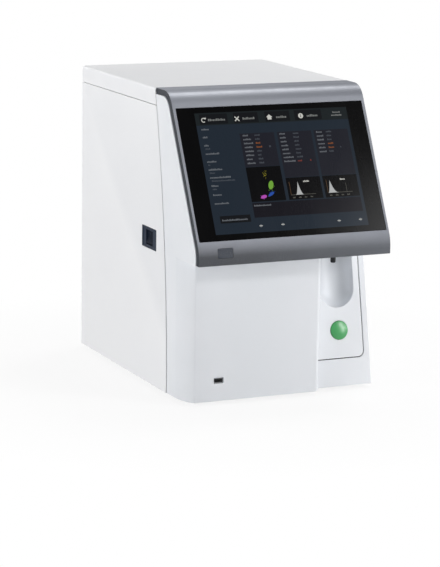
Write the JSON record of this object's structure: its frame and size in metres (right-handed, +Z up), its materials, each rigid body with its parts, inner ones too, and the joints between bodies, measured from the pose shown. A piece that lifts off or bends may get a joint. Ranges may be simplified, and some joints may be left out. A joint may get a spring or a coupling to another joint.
{
  "type": "bench-top blood analyzer",
  "caption": "White bench-top blood analyzer with a leaning black touch screen in a grey bezel, a sample recess with a green start button, and its working inside.",
  "frame": {"origin": "on the ground under the middle of the overall box", "axes": "+X to the right seen from the front, +Y towards the back, +Z up"},
  "size_m": [0.315, 0.4628, 0.452],
  "materials": {
    "white_steel": "fine satin powder coat",
    "white_moulding": "satin",
    "grey_bezel": "satin metallic paint",
    "black_glass": "polished, printed black behind",
    "dark_plastic": "satin",
    "black_plastic": "satin",
    "green_plastic": "semi-gloss",
    "clear_plastic": "frosted clear",
    "rubber": "matte",
    "zinc_steel": "zinc plated",
    "aluminium": "fine machined",
    "stainless": "ground",
    "circuit": "solder mask"
  },
  "bodies": {
    "housing": {"base_tray": "zinc_steel", "centre_bulkhead": "zinc_steel", "left_side_panel": "white_steel", "right_side_panel": "white_steel", "rear_panel": "white_steel", "top_cover": "white_steel", "front_casing": "white_moulding", "bezel_frame": "grey_bezel", "sampling_fascia": "white_moulding", "wash_sleeve": "black_plastic", "screen_glass": "black_glass", "display_module": "zinc_steel", "screen_bracket": "zinc_steel", "reader_window": "dark_plastic", "button_switch": "black_plastic", "usb_port": "stainless", "switch_frame": "dark_plastic", "foot_front_left": "rubber", "foot_front_right": "rubber", "foot_rear_left": "rubber", "foot_rear_right": "rubber", "traverse_rail": "stainless", "traverse_motor": "black_plastic", "traverse_belt": "rubber", "counting_bath": "clear_plastic", "optical_bench": "aluminium", "laser_module": "black_plastic", "flow_cell": "clear_plastic", "scatter_detector": "black_plastic", "syringe_body": "clear_plastic", "syringe_actuator": "black_plastic", "valve_manifold": "clear_plastic", "waste_chamber": "clear_plastic", "pressure_pump": "black_plastic", "power_supply": "zinc_steel", "main_board": "circuit", "fan_frame": "black_plastic", "fan_guard": "stainless", "mains_inlet": "black_plastic", "waste_port": "clear_plastic", "lyse_port": "clear_plastic", "diluent_port": "clear_plastic"},
    "start_button_cap": {"start_button": "green_plastic"},
    "rocker": {"switch_rocker": "black_plastic"},
    "carriage": {"traverse_block": "aluminium", "lift_carrier": "aluminium", "lift_rail": "stainless", "lift_motor": "black_plastic", "lift_belt": "rubber"},
    "probe_arm": {"lift_block": "aluminium", "sample_probe": "stainless"},
    "traverse_pulley_roll": {"traverse_pulley": "aluminium"},
    "traverse_idler_roll": {"traverse_idler": "aluminium"},
    "lift_pulley_roll": {"lift_pulley": "aluminium"},
    "lift_idler_roll": {"lift_idler": "aluminium"},
    "plunger": {"syringe_plunger": "dark_plastic"},
    "fan_wheel": {"fan_rotor": "black_plastic"}
  },
  "joints": [
    {"name": "start_push", "type": "slide", "parent": "housing", "child": "start_button_cap", "axis": [0, 0.9806, -0.1959], "range_m": [0, 0.002], "stiffness_N_per_m": 400, "springref_m": -0.002},
    {"name": "rocker_tip", "type": "hinge", "parent": "housing", "child": "rocker", "pos_m": [-0.1511, -0.05675, 0.2265], "axis": [0, 1, 0], "range_deg": [-12, 0]},
    {"name": "traverse_slide", "type": "slide", "parent": "housing", "child": "carriage", "axis": [0, 1, 0], "range_m": [0, 0.09]},
    {"name": "probe_lift", "type": "slide", "parent": "carriage", "child": "probe_arm", "axis": [0, 0, -1], "range_m": [0, 0.07]},
    {"name": "traverse_pulley_turn", "type": "hinge", "parent": "housing", "child": "traverse_pulley_roll", "pos_m": [0.0702, 0.04187, 0.331], "axis": [1, 0, 0], "range_deg": [0, 805.8]},
    {"name": "traverse_idler_turn", "type": "hinge", "parent": "housing", "child": "traverse_idler_roll", "pos_m": [0.0702, -0.12413, 0.331], "axis": [1, 0, 0], "range_deg": [0, 805.8]},
    {"name": "lift_pulley_turn", "type": "hinge", "parent": "carriage", "child": "lift_pulley_roll", "pos_m": [0.0865, -0.10613, 0.364], "axis": [1, 0, 0], "range_deg": [-626.8, 0]},
    {"name": "lift_idler_turn", "type": "hinge", "parent": "carriage", "child": "lift_idler_roll", "pos_m": [0.0865, -0.10613, 0.232], "axis": [1, 0, 0], "range_deg": [-626.8, 0]},
    {"name": "plunger_draw", "type": "slide", "parent": "housing", "child": "plunger", "axis": [0, 0, -1], "range_m": [0, 0.04]},
    {"name": "fan_spin", "type": "hinge", "parent": "housing", "child": "fan_wheel", "pos_m": [-0.07, 0.2, 0.336], "axis": [0, 1, 0], "continuous": true}
  ],
  "couplings": [
    {"joint": "traverse_pulley_turn", "follows": "traverse_slide", "rad_per_m": 156.25},
    {"joint": "traverse_idler_turn", "follows": "traverse_slide", "rad_per_m": 156.25},
    {"joint": "lift_pulley_turn", "follows": "probe_lift", "rad_per_m": -156.25},
    {"joint": "lift_idler_turn", "follows": "probe_lift", "rad_per_m": -156.25}
  ]
}
